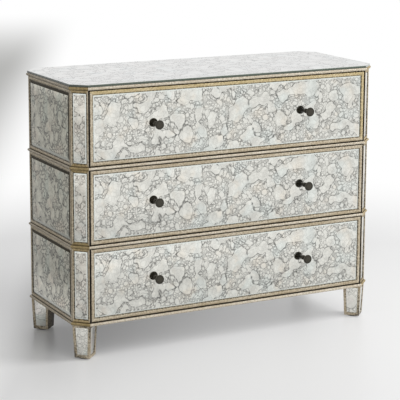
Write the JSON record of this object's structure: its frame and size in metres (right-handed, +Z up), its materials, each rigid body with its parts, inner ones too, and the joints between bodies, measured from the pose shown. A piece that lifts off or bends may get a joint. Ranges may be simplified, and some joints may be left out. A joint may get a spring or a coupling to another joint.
{
  "type": "chest of drawers",
  "caption": "Straight-fronted mirrored chest with canted corners, gilded mouldings, tapered legs and sliding drawers with round knobs.",
  "frame": {"origin": "on the floor, in the middle of the box that the whole chest fills, knobs included", "axes": "+Z up, front with the drawers towards -Y, +X to the right of someone who faces the front"},
  "size_m": [1.038, 0.43, 0.82],
  "materials": {
    "gilt_wood": "champagne metal leaf on wood, rubbed and speckled",
    "antique_mirror": "antiqued, mottled silvering",
    "top_mirror": "antiqued mirror glass with a polished edge",
    "case_board": "fibreboard painted dark brown",
    "back_board": "hardboard painted dark brown",
    "drawer_board": "fibreboard, stained dark",
    "drawer_wood": "clear lacquered hardwood",
    "drawer_base": "lacquered plywood",
    "runner_wood": "waxed hardwood",
    "knob_bronze": "dark bronze patina, satin",
    "screw_steel": "zinc plated",
    "glide_plastic": "moulded black"
  },
  "bodies": {
    "case": {"bottom_board": "case_board", "top_board": "case_board", "glass_top": "top_mirror", "right_side_board": "case_board", "left_side_board": "case_board", "front_right_post": "case_board", "front_left_post": "case_board", "rear_right_post": "case_board", "rear_left_post": "case_board", "middle_drawer_rail": "case_board", "upper_drawer_rail": "case_board", "back_panel": "back_board", "base_moulding": "gilt_wood", "middle_rail_moulding": "gilt_wood", "upper_rail_moulding": "gilt_wood", "crown_moulding": "gilt_wood", "right_side_frames": "gilt_wood", "left_side_frames": "gilt_wood", "right_side_mirrors": "antique_mirror", "left_side_mirrors": "antique_mirror", "front_right_cant_frames": "gilt_wood", "front_left_cant_frames": "gilt_wood", "rear_right_cant_frames": "gilt_wood", "rear_left_cant_frames": "gilt_wood", "front_cant_mirrors": "antique_mirror", "rear_cant_mirrors": "antique_mirror", "front_right_leg": "gilt_wood", "front_left_leg": "gilt_wood", "rear_right_leg": "gilt_wood", "rear_left_leg": "gilt_wood", "leg_mirrors": "antique_mirror", "leg_dowels": "runner_wood", "leg_glides": "glide_plastic", "right_runners": "runner_wood", "left_runners": "runner_wood"},
    "lower_drawer": {"lower_drawer_front": "drawer_board", "lower_drawer_frame": "gilt_wood", "lower_drawer_mirror": "antique_mirror", "lower_drawer_sides": "drawer_wood", "lower_drawer_back": "drawer_wood", "lower_drawer_bottom": "drawer_base", "lower_drawer_knobs": "knob_bronze", "lower_drawer_knob_screws": "screw_steel"},
    "middle_drawer": {"middle_drawer_front": "drawer_board", "middle_drawer_frame": "gilt_wood", "middle_drawer_mirror": "antique_mirror", "middle_drawer_sides": "drawer_wood", "middle_drawer_back": "drawer_wood", "middle_drawer_bottom": "drawer_base", "middle_drawer_knobs": "knob_bronze", "middle_drawer_knob_screws": "screw_steel"},
    "upper_drawer": {"upper_drawer_front": "drawer_board", "upper_drawer_frame": "gilt_wood", "upper_drawer_mirror": "antique_mirror", "upper_drawer_sides": "drawer_wood", "upper_drawer_back": "drawer_wood", "upper_drawer_bottom": "drawer_base", "upper_drawer_knobs": "knob_bronze", "upper_drawer_knob_screws": "screw_steel"}
  },
  "joints": [
    {"name": "lower_drawer_slide", "type": "slide", "parent": "case", "child": "lower_drawer", "axis": [0, -1, 0], "range_m": [0, 0.27]},
    {"name": "middle_drawer_slide", "type": "slide", "parent": "case", "child": "middle_drawer", "axis": [0, -1, 0], "range_m": [0, 0.27]},
    {"name": "upper_drawer_slide", "type": "slide", "parent": "case", "child": "upper_drawer", "axis": [0, -1, 0], "range_m": [0, 0.27]}
  ]
}
